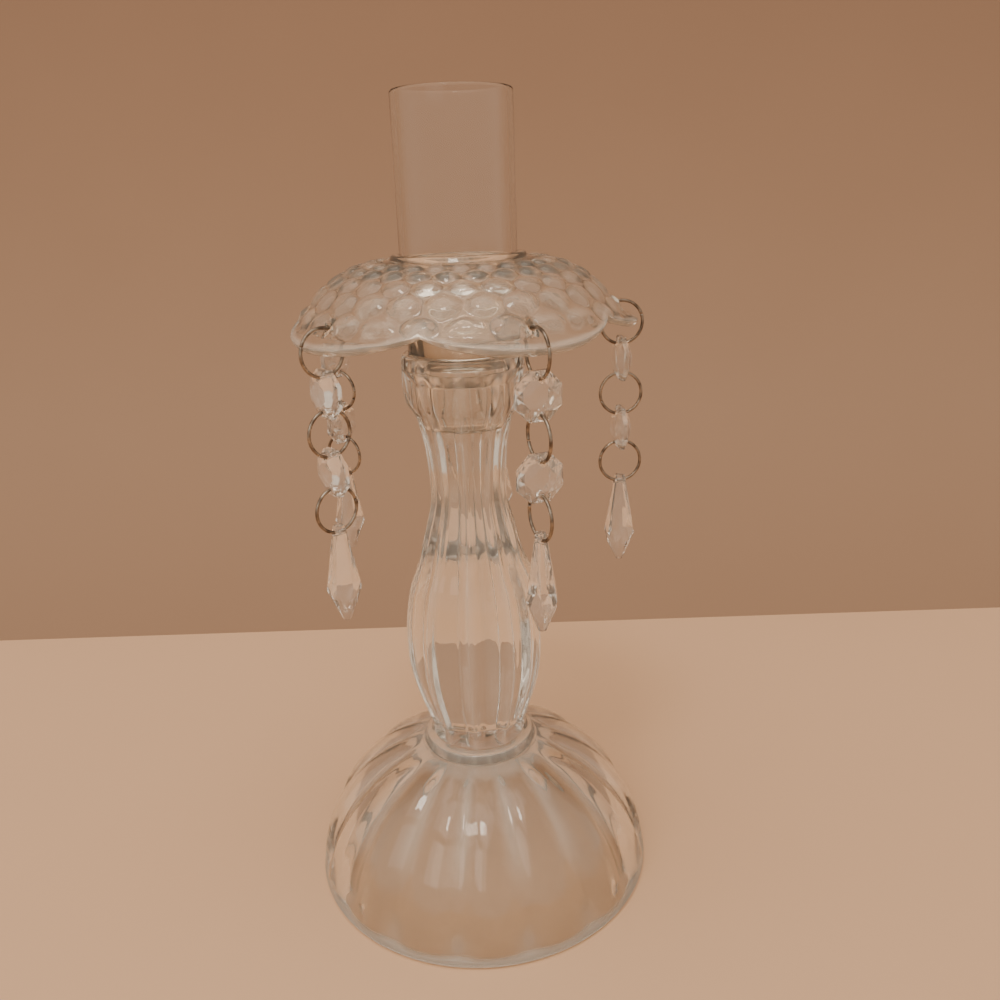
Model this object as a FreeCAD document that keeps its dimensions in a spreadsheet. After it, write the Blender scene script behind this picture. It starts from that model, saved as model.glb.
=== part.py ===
"""Glass candlestick with a scalloped, prism-hung bobeche and a glass chimney.

Millimetres, +Z up. The origin is the centre of the foot's resting face. A hollow lobed
base carries a solid ribbed stem with a candle socket in its top. The bobeche plugs into the
socket's mouth, the chimney stands in a seat on the bobeche's crown, and five strands of wire
rings and cut crystals hang through holes near the bobeche's edge.
"""
import FreeCAD, Part
import math
import os
import re
import Sketcher
from FreeCAD import Placement, Rotation, Vector

OUT = "parts"
UP = Vector(0, 0, 1)
OCTAGON = 8
HEXAGON = 6
POINTS_PER_RIB = 12
RIB_SHARPNESS = 4
DOME_STATIONS = 12
FOOT_CREASE = 0.15
COLLAR_OVERLAP = 1.5
TOUCH = 0.02

# (share of the way up, share of the swelling) along the baluster and under the cup
BALUSTER_LOW = [(0.09, 0.0), (0.27, 0.32), (0.51, 0.69), (0.76, 0.95), (1.0, 1.0)]
BALUSTER_HIGH = [(0.13, 0.98), (0.31, 0.86), (0.41, 0.73), (0.54, 0.47), (0.72, 0.27),
                 (0.89, 0.05), (1.0, 0.0)]
CUP_LOW = [(0.24, 0.05), (0.47, 0.17), (0.73, 0.47), (0.86, 0.85)]

# name, value in mm (or a count, or degrees), what it is
SIZES = [
    ("base_radius", 59.7, "foot's outer radius at the table"),
    ("dome_height", 49.5, "crown of the arc that the dome follows"),
    ("dome_offset", 7.5, "that arc's centre, out from the axis"),
    ("base_wall", 4.0, "thickness of the dome's glass"),
    ("base_lobes", 16, "rounded lobes round the dome"),
    ("base_crease", 1.8, "depth of the creases between those lobes"),
    ("base_turn", 14.6, "direction of one crease, degrees from +X"),
    ("collar_radius", 19.5, "ring where the stem meets the dome"),
    ("collar_bottom", 45.0, "height where that ring leaves the dome"),
    ("collar_top", 51.5, "height of the joint between base and stem"),
    ("peg_radius", 8.0, "locating peg under the stem"),
    ("peg_length", 3.0, "length of the locating peg"),
    ("glue_gap", 0.08, "room for cement round and under the peg"),
    ("stem_ribs", 10, "narrow ribs round the stem"),
    ("stem_rib", 1.1, "height of those ribs"),
    ("stem_turn", 15.0, "direction of one rib, degrees from +X"),
    ("foot_radius", 16.2, "narrow place just above the joint"),
    ("belly_radius", 23.7, "widest part of the baluster"),
    ("belly_height", 90.0, "height of the widest part"),
    ("waist_radius", 12.7, "narrowest part of the stem"),
    ("waist_height", 142.0, "height of the narrowest part"),
    ("cup_radius", 19.7, "bulge round the candle socket"),
    ("cup_height", 176.0, "height of that bulge"),
    ("rim_height", 186.6, "height of the stem's top rim"),
    ("socket_radius", 11.3, "straight bore that grips a 22 mm taper candle"),
    ("socket_bottom", 163.0, "height of the candle socket's floor"),
    ("mouth_radius", 15.7, "socket's wider mouth"),
    ("mouth_depth", 4.6, "depth of the straight mouth"),
    ("spigot_gap", 0.15, "room round the bobeche's spigot in the mouth"),
    ("spigot_length", 4.0, "how far the bobeche plugs into the mouth"),
    ("bore_radius", 12.2, "candle's way through the bobeche"),
    ("tube_radius", 17.0, "bobeche's central tube"),
    ("skirt_top", 214.5, "height of the skirt's crown"),
    ("skirt_crown", 22.0, "distance of that crown from the axis"),
    ("skirt_arc", 29.5, "radius of the arc that falls from the crown"),
    ("flare_arc", 33.0, "radius of the arc that turns out to the rim"),
    ("skirt_steepest", 52.0, "slope where the two arcs meet, degrees"),
    ("rim_slope", 30.0, "slope of the rim, degrees"),
    ("skirt_wall", 2.6, "thickness of the skirt's glass"),
    ("lobe_offset", 20.0, "each scallop's centre, out from the axis"),
    ("lobe_radius", 34.6, "each scallop's own radius"),
    ("gallery_radius", 20.6, "raised ring round the chimney's seat"),
    ("gallery_top", 216.4, "height of the top of that ring"),
    ("seat_height", 212.5, "face that the chimney stands on"),
    ("chimney_radius", 17.8, "chimney's outside"),
    ("chimney_wall", 1.8, "thickness of the chimney's glass"),
    ("chimney_top", 261.5, "height of the chimney's open rim"),
    ("chimney_gap", 0.2, "room round the chimney in its seat"),
    ("strands", 5, "strands of crystals, one to each scallop"),
    ("first_strand", 6.7, "direction of the first strand, degrees from +X"),
    ("hook_hole_at", 47.2, "holes for the strands, out from the axis"),
    ("hook_hole_radius", 1.8, "radius of those holes"),
    ("hang_offset", 1.7, "a strand's distance outside the edge it hangs on"),
    ("ring_radius", 6.75, "middle of a ring's wire"),
    ("wire_radius", 0.5, "half the thickness of a ring's wire"),
    ("crystal_width", 14.0, "octagonal crystal, across its flats"),
    ("crystal_girdle", 1.6, "thickness of the octagonal crystal's edge"),
    ("crystal_depth", 5.4, "thickness of the octagonal crystal between its tables"),
    ("crystal_table", 6.2, "width of its flat tables"),
    ("hole_spacing", 9.1, "between the two holes in a crystal"),
    ("hole_radius", 0.9, "holes in the crystals"),
    ("hole_sag", 0.1, "a hole's centre past the wire's, where the glass rests"),
    ("drop_top", 2.2, "glass above the hole in a drop"),
    ("drop_widest", 17.9, "widest place of a drop, below its hole"),
    ("drop_length", 28.0, "tip of a drop, below its hole"),
    ("drop_radius", 5.2, "drop at its widest"),
    ("drop_neck_radius", 2.15, "drop at its head"),
    ("drop_tip_radius", 1.6, "blunt tip of a drop"),
]

doc = FreeCAD.newDocument("candlestick")
sheet = doc.addObject("Spreadsheet::Sheet", "sizes")
for row, (alias, value, meaning) in enumerate(SIZES, start=1):
    sheet.set(f"A{row}", alias)
    sheet.set(f"B{row}", str(value))
    sheet.set(f"C{row}", meaning)
    sheet.setAlias(f"B{row}", alias)
doc.recompute()

SUBPARTS = []


def size(alias):
    """Value of one named size."""
    return float(getattr(sheet, alias))


STRANDS = int(size("strands"))


def keep(obj, label):
    """Lists an object as a sub-part under its label."""
    obj.Label = label
    SUBPARTS.append(obj)
    return obj


# ---------------------------------------------------------------- turned glass


def turned_body(label, segments):
    """PartDesign body turned about Z from a closed chain of lines and arcs.

    Each segment starts at (x, z), given as expressions of the sheet. An arc also names its
    centre and whether it runs anticlockwise.
    """
    body = doc.addObject("PartDesign::Body", label)
    sketch = body.newObject("Sketcher::SketchObject", label + "_profile")
    plane = [f for f in body.Origin.OriginFeatures if f.Role == "XZ_Plane"][0]
    sketch.AttachmentSupport = [(plane, "")]
    sketch.MapMode = "FlatFace"
    starts = [s[0] for s in segments]
    for i, segment in enumerate(segments):
        a = point(starts[i])
        b = point(starts[(i + 1) % len(starts)])
        if len(segment) == 1:
            sketch.addGeometry(Part.LineSegment(a, b), False)
        else:
            sketch.addGeometry(arc(a, b, point(segment[1]), segment[2]), False)
    for i, segment in enumerate(segments):
        first, last = ends(segment)
        after = (i + 1) % len(segments)
        sketch.addConstraint(Sketcher.Constraint("Coincident", i, last, after,
                                                 ends(segments[after])[0]))
        fix(sketch, i, first, segment[0])
    turned = body.newObject("PartDesign::Revolution", label + "_turned")
    turned.Profile = sketch
    turned.ReferenceAxis = (sketch, ["V_Axis"])
    turned.Angle = 360
    return body


def point(corner):
    """Sketch point of two expressions of the sheet."""
    return Vector(float(sheet.evalExpression(corner[0])), float(sheet.evalExpression(corner[1])), 0)


def arc(a, b, centre, anticlockwise):
    """Arc between two points about a centre."""
    circle = Part.Circle(centre, Vector(0, 0, 1), (a - centre).Length)
    from_a = math.atan2(a.y - centre.y, a.x - centre.x)
    to_b = math.atan2(b.y - centre.y, b.x - centre.x)
    if anticlockwise:
        return Part.ArcOfCircle(circle, from_a, to_b)
    return Part.ArcOfCircle(circle, to_b, from_a)


def ends(segment):
    """Sketcher's numbers for a segment's first and last points."""
    if len(segment) == 1 or segment[2]:
        return 1, 2
    return 2, 1


def fix(sketch, index, end, corner):
    """Ties one point of a sketch to expressions of the sheet."""
    where = point(corner)
    for kind, value, expression in (("DistanceX", where.x, corner[0]),
                                    ("DistanceY", where.y, corner[1])):
        number = sketch.addConstraint(Sketcher.Constraint(kind, -1, 1, index, end, value))
        sketch.setExpression(f"Constraints[{number}]", over_sheet(expression))


def over_sheet(expression):
    """The same expression, naming the sheet so that other objects can use it."""
    return re.sub(r"[a-z]+_[a-z_]+", lambda word: "sizes." + word.group(0), expression)


# ---------------------------------------------------------------- fluted glass


def ribbed_ring(radius, height, ribs, rib, first, creased):
    """Closed curve with narrow ribs standing over shallow scoops, or narrow creases in it."""
    points = []
    count = int(ribs) * POINTS_PER_RIB
    for i in range(count):
        turn = 2 * math.pi * i / count
        spike = abs(math.cos(ribs * turn / 2)) ** RIB_SHARPNESS
        r = radius - rib * (spike if creased else 1 - spike)
        way = turn + first
        points.append(Vector(r * math.cos(way), r * math.sin(way), height))
    curve = Part.BSplineCurve()
    curve.interpolate(Points=points, PeriodicFlag=True)
    return Part.Wire([curve.toShape()])


def ribbed(stations, ribs, turn, creased=False):
    """Solid through ribbed rings; stations are (radius, height, height of the ribs)."""
    first = math.radians(turn)
    rings = [ribbed_ring(r, z, ribs, rib, first, creased) for r, z, rib in stations]
    return Part.makeLoft(rings, True, False)


def between(a, b, share):
    """Value part of the way from a to b."""
    return a + (b - a) * share


# ---------------------------------------------------------------- booleans


def solid_feature(name, shape):
    """Object that holds a computed shape."""
    obj = doc.addObject("Part::Feature", name)
    obj.Shape = shape
    return obj


def cylinder(name, radius, height, x="0", y="0", z="0"):
    """Upright cylinder bound to the sheet."""
    obj = doc.addObject("Part::Cylinder", name)
    obj.setExpression("Radius", over_sheet(radius))
    obj.setExpression("Height", over_sheet(height))
    obj.setExpression("Placement.Base.x", over_sheet(x))
    obj.setExpression("Placement.Base.y", over_sheet(y))
    obj.setExpression("Placement.Base.z", over_sheet(z))
    return obj


def fuse(name, *shapes):
    """Union of several objects."""
    obj = doc.addObject("Part::MultiFuse", name)
    obj.Shapes = list(shapes)
    return obj


def pair(kind, name, base, tool):
    """Part::Cut or Part::Common of two objects."""
    obj = doc.addObject(kind, name)
    obj.Base = base
    obj.Tool = tool
    return obj


def faceted(name, sides, stations, twist=0.0):
    """Straight-sided solid through regular polygons; stations are (radius, height)."""
    outlines = []
    for number, (radius, height) in enumerate(stations):
        outline = doc.addObject("Part::RegularPolygon", f"{name}_outline_{number}")
        outline.Polygon = sides
        outline.Placement = Placement(Vector(), Rotation(UP, twist))
        outline.setExpression("Circumradius", over_sheet(radius))
        outline.setExpression("Placement.Base.z", over_sheet(height))
        outlines.append(outline)
    loft = doc.addObject("Part::Loft", name + "_cut")
    loft.Sections = outlines
    loft.Solid = True
    loft.Ruled = True
    return loft


# ---------------------------------------------------------------- base


def make_base():
    """Hollow lobed dome with the ring that carries the stem."""
    rise = size("dome_height")
    offset = size("dome_offset")
    span = size("base_radius") - offset
    centre = (rise ** 2 - span ** 2) / (2 * rise)
    sweep = rise - centre
    start = math.acos(-centre / sweep)
    stop = math.asin((size("collar_radius") - COLLAR_OVERLAP - offset) / sweep)
    stations = []
    for step in range(DOME_STATIONS):
        share = step / (DOME_STATIONS - 1)
        angle = between(start, stop, share)
        depth = size("base_crease") * min(1.0, FOOT_CREASE + 6 * share) * min(1.0, 5 * (1 - share))
        stations.append((offset + sweep * math.sin(angle), centre + sweep * math.cos(angle), depth))
    outside = ribbed(stations, size("base_lobes"), size("base_turn"), creased=True)
    dome = solid_feature("base_dome_outside", outside)
    collar = turned_body("base_collar", [
        [("0", "collar_bottom")],
        [("collar_radius - 0.6", "collar_bottom")],
        [("collar_radius", "collar_bottom + 1.5")],
        [("collar_radius", "collar_top - 2")],
        [("collar_radius - 1.4", "collar_top")],
        [("0", "collar_top")],
    ])
    arc_z = "((dome_height ^ 2 - (base_radius - dome_offset) ^ 2) / (2 * dome_height))"
    hollow = turned_body("base_hollow", [
        [("0", "0")],
        [("dome_offset + sqrt((dome_height - base_wall - " + arc_z + ") ^ 2 - " + arc_z + " ^ 2)",
          "0"), ("dome_offset", arc_z), True],
        [("dome_offset", "dome_height - base_wall")],
        [("0", "dome_height - base_wall")],
    ])
    peg_hole = cylinder("base_peg_hole", "peg_radius + glue_gap", "peg_length + glue_gap",
                        z="collar_top - peg_length - glue_gap")
    glass = fuse("base_glass", dome, collar)
    return pair("Part::Cut", "base_dome", glass, fuse("base_voids", hollow, peg_hole))


# ---------------------------------------------------------------- stem


def make_stem():
    """Solid ribbed baluster with the candle socket in its cup."""
    low = size("collar_top")
    belly = size("belly_height")
    waist = size("waist_height")
    cup = size("cup_height")
    top = size("rim_height")
    foot_r = size("foot_radius")
    belly_r = size("belly_radius")
    waist_r = size("waist_radius")
    cup_r = size("cup_radius")
    rib = size("stem_rib")
    rows = [(foot_r, low, 0.5)]
    for lift, swell in BALUSTER_LOW:
        rows.append((between(foot_r, belly_r, swell), between(low, belly, lift), 1.0))
    for lift, swell in BALUSTER_HIGH:
        rows.append((between(waist_r, belly_r, swell), between(belly, waist, lift), 1.0))
    for lift, swell in CUP_LOW:
        rows.append((between(waist_r, cup_r, swell), between(waist, cup, lift), 0.8))
    rows.append((cup_r, cup, 0.5))
    rows.append((cup_r, between(cup, top, 0.55), 0.3))
    rows.append((cup_r - 0.2, top, 0.2))
    stations = [(r, z, rib * share) for r, z, share in rows]
    glass = solid_feature("stem_outside", ribbed(stations, size("stem_ribs"), size("stem_turn")))
    peg = cylinder("stem_peg", "peg_radius", "peg_length + 1", z="collar_top - peg_length")
    socket = turned_body("stem_socket", [
        [("0", "socket_bottom")],
        [("socket_radius", "socket_bottom")],
        [("socket_radius", "rim_height - mouth_depth - (mouth_radius - socket_radius)")],
        [("mouth_radius", "rim_height - mouth_depth")],
        [("mouth_radius", "rim_height")],
        [("0", "rim_height")],
    ])
    return pair("Part::Cut", "stem", fuse("stem_glass", glass, peg), socket)


# ---------------------------------------------------------------- bobeche and chimney

FALL = ("(skirt_crown + skirt_arc * sin(skirt_steepest))",
        "(skirt_top - skirt_arc + skirt_arc * cos(skirt_steepest))")
FLARE = (FALL[0] + " + flare_arc * sin(skirt_steepest)",
         FALL[1] + " + flare_arc * cos(skirt_steepest)")


def on_skirt(slope, depth):
    """Point of the flared part of the skirt, some depth under its outside."""
    return (f"{FLARE[0]} - (flare_arc + {depth}) * sin({slope})",
            f"{FLARE[1]} - (flare_arc + {depth}) * cos({slope})")


def around_axis(index):
    """Direction of one strand, as an expression in degrees."""
    return f"(first_strand + {index} * 360 / {STRANDS})"


def make_bobeche():
    """Scalloped glass skirt with its spigot, tube, and the gallery round the chimney's seat."""
    crown = ("skirt_crown", "skirt_top - skirt_arc")
    turned = turned_body("bobeche_turned", [
        [("bore_radius", "rim_height - spigot_length")],
        [("mouth_radius - spigot_gap", "rim_height - spigot_length")],
        [("mouth_radius - spigot_gap", "rim_height")],
        [("tube_radius", "rim_height")],
        [("tube_radius", "skirt_top - 2 * skirt_wall")],
        [("skirt_crown", "skirt_top - skirt_wall"), crown, False],
        [on_skirt("skirt_steepest", "skirt_wall"), FLARE, True],
        [on_skirt("rim_slope", "skirt_wall")],
        [on_skirt("rim_slope", "0"), FLARE, False],
        [on_skirt("skirt_steepest", "0"), crown, True],
        [("skirt_crown", "skirt_top")],
        [("gallery_radius", "skirt_top")],
        [("gallery_radius", "gallery_top")],
        [("chimney_radius + chimney_gap", "gallery_top")],
        [("chimney_radius + chimney_gap", "seat_height")],
        [("bore_radius", "seat_height")],
    ])
    lobes = []
    holes = []
    for index in range(STRANDS):
        way = around_axis(index)
        lobes.append(cylinder(f"bobeche_lobe_{index}", "lobe_radius", "gallery_top",
                              f"lobe_offset * cos{way}", f"lobe_offset * sin{way}", "1"))
        holes.append(cylinder(f"bobeche_hole_{index}", "hook_hole_radius", "skirt_top",
                              f"hook_hole_at * cos{way}", f"hook_hole_at * sin{way}"))
    scalloped = pair("Part::Common", "bobeche_scalloped", turned, fuse("bobeche_lobes", *lobes))
    return pair("Part::Cut", "bobeche", scalloped, fuse("bobeche_holes", *holes))


def make_chimney():
    """Plain glass cylinder with a rounded top rim."""
    return turned_body("chimney", [
        [("chimney_radius - chimney_wall", "seat_height")],
        [("chimney_radius", "seat_height")],
        [("chimney_radius", "chimney_top - chimney_wall / 2"),
         ("chimney_radius - chimney_wall / 2", "chimney_top - chimney_wall / 2"), True],
        [("chimney_radius - chimney_wall", "chimney_top - chimney_wall / 2")],
    ])


# ---------------------------------------------------------------- strands


def hook_edge():
    """Radius and height of the hole's outer edge, which a strand hangs on."""
    edge = size("hook_hole_at") + size("hook_hole_radius")
    x, z = (float(sheet.evalExpression(e)) for e in FLARE)
    arc_radius = size("flare_arc")
    return edge, z - math.sqrt(arc_radius ** 2 - (x - edge) ** 2)


def make_ring(label):
    """One wire ring."""
    ring = doc.addObject("Part::Torus", label)
    ring.setExpression("Radius1", "sizes.ring_radius")
    ring.setExpression("Radius2", "sizes.wire_radius")
    return ring


def make_octagon(label):
    """Faceted octagonal crystal with two holes."""
    corner = f" / (2 * cos({180 / OCTAGON}))"
    edge = "crystal_width" + corner
    table = "crystal_table" + corner
    stations = [(table, "-crystal_depth / 2"), (edge, "-crystal_girdle / 2"),
                (edge, "crystal_girdle / 2"), (table, "crystal_depth / 2")]
    stone = faceted(label, OCTAGON, stations, 180 / OCTAGON)
    upper = cylinder(label + "_upper_hole", "hole_radius", "2 * crystal_depth",
                     x="-hole_spacing / 2", z="-crystal_depth")
    lower = cylinder(label + "_lower_hole", "hole_radius", "2 * crystal_depth",
                     x="hole_spacing / 2", z="-crystal_depth")
    return pair("Part::Cut", label, stone, fuse(label + "_holes", upper, lower))


def make_drop(label):
    """Hexagonal spear drop with one hole in its head; the hole's centre is at its origin."""
    stations = [("drop_tip_radius", "-drop_length"), ("drop_radius", "-drop_widest"),
                ("drop_neck_radius", "-2 * drop_top"), ("drop_neck_radius", "drop_top")]
    stone = faceted(label, HEXAGON, stations)
    hole = cylinder(label + "_hole", "hole_radius", "8 * drop_top")
    hole.setExpression("Placement.Base.y", "4 * sizes.drop_top")
    hole.Placement = Placement(hole.Placement.Base, Rotation(Vector(1, 0, 0), 90))
    return pair("Part::Cut", label, stone, hole)


def hang(label, obj, turn, radius, height, tilt):
    """Places one piece of a strand."""
    place = Vector(radius * math.cos(turn), radius * math.sin(turn), height)
    obj.Placement = Placement(place, Rotation(UP, math.degrees(turn)) * tilt)
    keep(obj, label)


def make_strand(letter, turn):
    """Three rings, two crystals and a drop, hanging from one hole of the bobeche."""
    ring = size("ring_radius")
    step = ring + size("hole_sag")
    spacing = size("hole_spacing")
    edge, height = hook_edge()
    radius = edge + size("hang_offset")
    reach = ring - size("wire_radius")
    z = height - math.sqrt(reach ** 2 - size("hang_offset") ** 2) - TOUCH
    ring_tilt = Rotation(Vector(1, 0, 0), -90)
    face_out = Rotation(Vector(0, 1, 0), 90)
    face_side = Rotation(UP, 90)
    for ring_name, stone_name in (("hook_ring", "upper_octagon"), ("middle_ring", "lower_octagon")):
        label = f"strand_{letter}_{ring_name}"
        hang(label, make_ring(label), turn, radius, z, ring_tilt)
        label = f"strand_{letter}_{stone_name}"
        hang(label, make_octagon(label), turn, radius, z - step - spacing / 2, face_out)
        z -= 2 * step + spacing
    label = f"strand_{letter}_lower_ring"
    hang(label, make_ring(label), turn, radius, z, ring_tilt)
    label = f"strand_{letter}_drop"
    hang(label, make_drop(label), turn, radius, z - step, face_side)


# ---------------------------------------------------------------- everything

keep(make_base(), "base_dome")
keep(make_stem(), "stem")
keep(make_bobeche(), "bobeche")
keep(make_chimney(), "chimney")
for number, letter in enumerate("abcdefgh"[:STRANDS]):
    make_strand(letter, math.radians(size("first_strand") + number * 360 / STRANDS))

doc.recompute()
for obj in doc.Objects:
    if "Invalid" in obj.State or "Error" in obj.State:
        raise RuntimeError(f"{obj.Name} did not recompute: {obj.State}")

os.makedirs(OUT, exist_ok=True)
for obj in SUBPARTS:
    shape = obj.Shape
    if shape.isNull() or not shape.isValid() or not shape.Solids:
        raise RuntimeError(f"{obj.Label} has no valid solid")
    shape.exportStep(os.path.join(OUT, f"{obj.Label}.step"))
    box = shape.optimalBoundingBox(True)
    print(f"{obj.Label}: {shape.Volume:.0f} mm3, {len(shape.Solids)} solid, "
          f"z {box.ZMin:.2f} to {box.ZMax:.2f}, width {box.XLength:.2f} x {box.YLength:.2f}")
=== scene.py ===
"""Looks of the glass candlestick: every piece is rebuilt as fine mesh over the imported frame.

Metres, +Z up, in the same frame as the CAD model. Each assembly is a class that builds its
own pieces and fastens them to the CAD bodies that they move with.
"""

import logging
import math
from dataclasses import dataclass, field
from enum import Enum
from typing import Callable, Dict, List, Sequence, Tuple

import bmesh
import bpy
from mathutils import Matrix, Vector


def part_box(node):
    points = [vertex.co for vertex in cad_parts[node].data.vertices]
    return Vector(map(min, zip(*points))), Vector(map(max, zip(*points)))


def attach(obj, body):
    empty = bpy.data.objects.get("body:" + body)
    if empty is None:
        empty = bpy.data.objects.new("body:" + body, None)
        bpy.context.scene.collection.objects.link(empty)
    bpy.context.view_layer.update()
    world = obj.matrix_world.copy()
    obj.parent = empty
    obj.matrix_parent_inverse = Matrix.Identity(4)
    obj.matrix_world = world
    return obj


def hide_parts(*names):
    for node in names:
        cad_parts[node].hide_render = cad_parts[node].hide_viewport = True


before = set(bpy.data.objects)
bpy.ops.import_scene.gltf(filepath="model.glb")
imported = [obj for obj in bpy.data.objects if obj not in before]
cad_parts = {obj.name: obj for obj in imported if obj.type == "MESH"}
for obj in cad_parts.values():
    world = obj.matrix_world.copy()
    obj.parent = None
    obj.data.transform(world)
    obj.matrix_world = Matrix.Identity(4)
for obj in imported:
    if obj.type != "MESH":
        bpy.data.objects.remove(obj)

MM = 0.001
TAU = 2 * math.pi
# Mesh attribute of extra white haze: painted highlights and painted lightening of shade, and a real
# ground foot on the base.
GLOW = "glow"
RIPPLE_DETAIL = 3.0
RIPPLE_DEPTH = 0.4 * MM
log = logging.getLogger("candlestick")

Station = Tuple[float, float]
Point = Tuple[float, float, float]


class Slot(Enum):
    """Material slots of the record."""

    CLEAR = "clear_glass"
    THIN = "thin_glass"
    CRYSTAL = "crystal"
    WIRE = "chrome_wire"


class Body(Enum):
    """CAD bodies of the main glass pieces."""

    STICK = "candlestick"
    BOBECHE = "bobeche"
    CHIMNEY = "chimney"


# ---------------------------------------------------------------- finishes


@dataclass(frozen=True)
class GlassFinish:
    """Clear glass with a faint surface ripple.

    Attributes:
        name: Material's name.
        tint: Colour of the glass.
        ior: Index of refraction.
        roughness: Microscopic roughness, lowest and highest.
        ripple_scale: Size of the ripple noise.
        ripple: Strength of the ripple.
        haze: Share of soft white surface, as from facets, dust or pressing.
        glow: Share added to the haze where a piece's glow attribute is 1: painted highlights at
            rims, relief, ribs and creases, and painted lightening of dark bands.
    """

    name: str
    tint: Tuple[float, float, float]
    ior: float
    roughness: Tuple[float, float]
    ripple_scale: float
    ripple: float
    haze: float
    glow: float

    def material(self) -> bpy.types.Material:
        """Builds the node material.

        Returns:
            The new material.
        """
        made = bpy.data.materials.new(self.name)
        made.use_nodes = True
        nodes, links = made.node_tree.nodes, made.node_tree.links
        shader = nodes["Principled BSDF"]
        shader.inputs["Base Color"].default_value = (*self.tint, 1)
        shader.inputs["IOR"].default_value = self.ior
        # The glow attribute turns transmission into white haze: painted highlights and painted
        # lightening of shade.
        amount = nodes.new("ShaderNodeAttribute")
        amount.attribute_name = GLOW
        clear = nodes.new("ShaderNodeMapRange")
        clear.inputs["To Min"].default_value = 1.0 - self.haze
        clear.inputs["To Max"].default_value = 1.0 - self.haze - self.glow
        links.new(amount.outputs["Fac"], clear.inputs["Value"])
        links.new(clear.outputs["Result"], shader.inputs["Transmission Weight"])
        place = nodes.new("ShaderNodeTexCoord")
        noise = nodes.new("ShaderNodeTexNoise")
        noise.inputs["Scale"].default_value = self.ripple_scale
        noise.inputs["Detail"].default_value = RIPPLE_DETAIL
        spread = nodes.new("ShaderNodeMapRange")
        spread.inputs["To Min"].default_value = self.roughness[0]
        spread.inputs["To Max"].default_value = self.roughness[1]
        bump = nodes.new("ShaderNodeBump")
        bump.inputs["Strength"].default_value = self.ripple
        bump.inputs["Distance"].default_value = RIPPLE_DEPTH
        links.new(place.outputs["Object"], noise.inputs["Vector"])
        links.new(noise.outputs["Fac"], spread.inputs["Value"])
        links.new(spread.outputs["Result"], shader.inputs["Roughness"])
        links.new(noise.outputs["Fac"], bump.inputs["Height"])
        links.new(bump.outputs["Normal"], shader.inputs["Normal"])
        return made


@dataclass(frozen=True)
class WireFinish:
    """Bright wire that has darkened unevenly.

    Attributes:
        name: Material's name.
        bright: Colour where the plating is clean.
        dull: Colour where it has darkened.
        roughness: Lowest and highest roughness.
    """

    name: str
    bright: Tuple[float, float, float]
    dull: Tuple[float, float, float]
    roughness: Tuple[float, float]

    def material(self) -> bpy.types.Material:
        """Builds the node material.

        Returns:
            The new material.
        """
        made = bpy.data.materials.new(self.name)
        made.use_nodes = True
        nodes, links = made.node_tree.nodes, made.node_tree.links
        shader = nodes["Principled BSDF"]
        shader.inputs["Metallic"].default_value = 1.0
        place = nodes.new("ShaderNodeTexCoord")
        noise = nodes.new("ShaderNodeTexNoise")
        noise.inputs["Scale"].default_value = 420.0
        noise.inputs["Detail"].default_value = 4.0
        ramp = nodes.new("ShaderNodeValToRGB")
        ramp.color_ramp.elements[0].position = 0.35
        ramp.color_ramp.elements[0].color = (*self.dull, 1)
        ramp.color_ramp.elements[1].position = 0.7
        ramp.color_ramp.elements[1].color = (*self.bright, 1)
        spread = nodes.new("ShaderNodeMapRange")
        spread.inputs["To Min"].default_value = self.roughness[1]
        spread.inputs["To Max"].default_value = self.roughness[0]
        links.new(place.outputs["Object"], noise.inputs["Vector"])
        links.new(noise.outputs["Fac"], ramp.inputs["Fac"])
        links.new(noise.outputs["Fac"], spread.inputs["Value"])
        links.new(ramp.outputs["Color"], shader.inputs["Base Color"])
        links.new(spread.outputs["Result"], shader.inputs["Roughness"])
        return made


@dataclass(frozen=True)
class MattFinish:
    """Painted wall or plain table top with a soft mottle.

    Attributes:
        name: Material's name.
        low: Colour at table height.
        high: Colour higher up, darker: painted shade that dims the wall away from the table.
        scale: Size of the mottle.
    """

    name: str
    low: Tuple[float, float, float]
    high: Tuple[float, float, float]
    scale: float

    def material(self) -> bpy.types.Material:
        """Builds the node material.

        Returns:
            The new material.
        """
        made = bpy.data.materials.new(self.name)
        made.use_nodes = True
        nodes, links = made.node_tree.nodes, made.node_tree.links
        shader = nodes["Principled BSDF"]
        shader.inputs["Roughness"].default_value = 0.9
        place = nodes.new("ShaderNodeTexCoord")
        noise = nodes.new("ShaderNodeTexNoise")
        noise.inputs["Scale"].default_value = self.scale
        noise.inputs["Detail"].default_value = 6.0
        # Grade by height: darker higher up, painted shade on the wall.
        height = nodes.new("ShaderNodeSeparateXYZ")
        grade = nodes.new("ShaderNodeMapRange")
        grade.interpolation_type = "SMOOTHSTEP"
        grade.inputs["From Min"].default_value = -0.15
        grade.inputs["From Max"].default_value = 0.65
        blotch = nodes.new("ShaderNodeMath")
        blotch.operation = "MULTIPLY_ADD"
        blotch.inputs[1].default_value = 0.16
        ramp = nodes.new("ShaderNodeValToRGB")
        ramp.color_ramp.elements[0].position = 0.08
        ramp.color_ramp.elements[0].color = (*self.low, 1)
        ramp.color_ramp.elements[1].position = 1.0
        ramp.color_ramp.elements[1].color = (*self.high, 1)
        links.new(place.outputs["Object"], noise.inputs["Vector"])
        links.new(place.outputs["Object"], height.inputs["Vector"])
        links.new(height.outputs["Z"], grade.inputs["Value"])
        links.new(noise.outputs["Fac"], blotch.inputs[0])
        links.new(grade.outputs["Result"], blotch.inputs[2])
        links.new(blotch.outputs["Value"], ramp.inputs["Fac"])
        links.new(ramp.outputs["Color"], shader.inputs["Base Color"])
        return made


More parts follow.
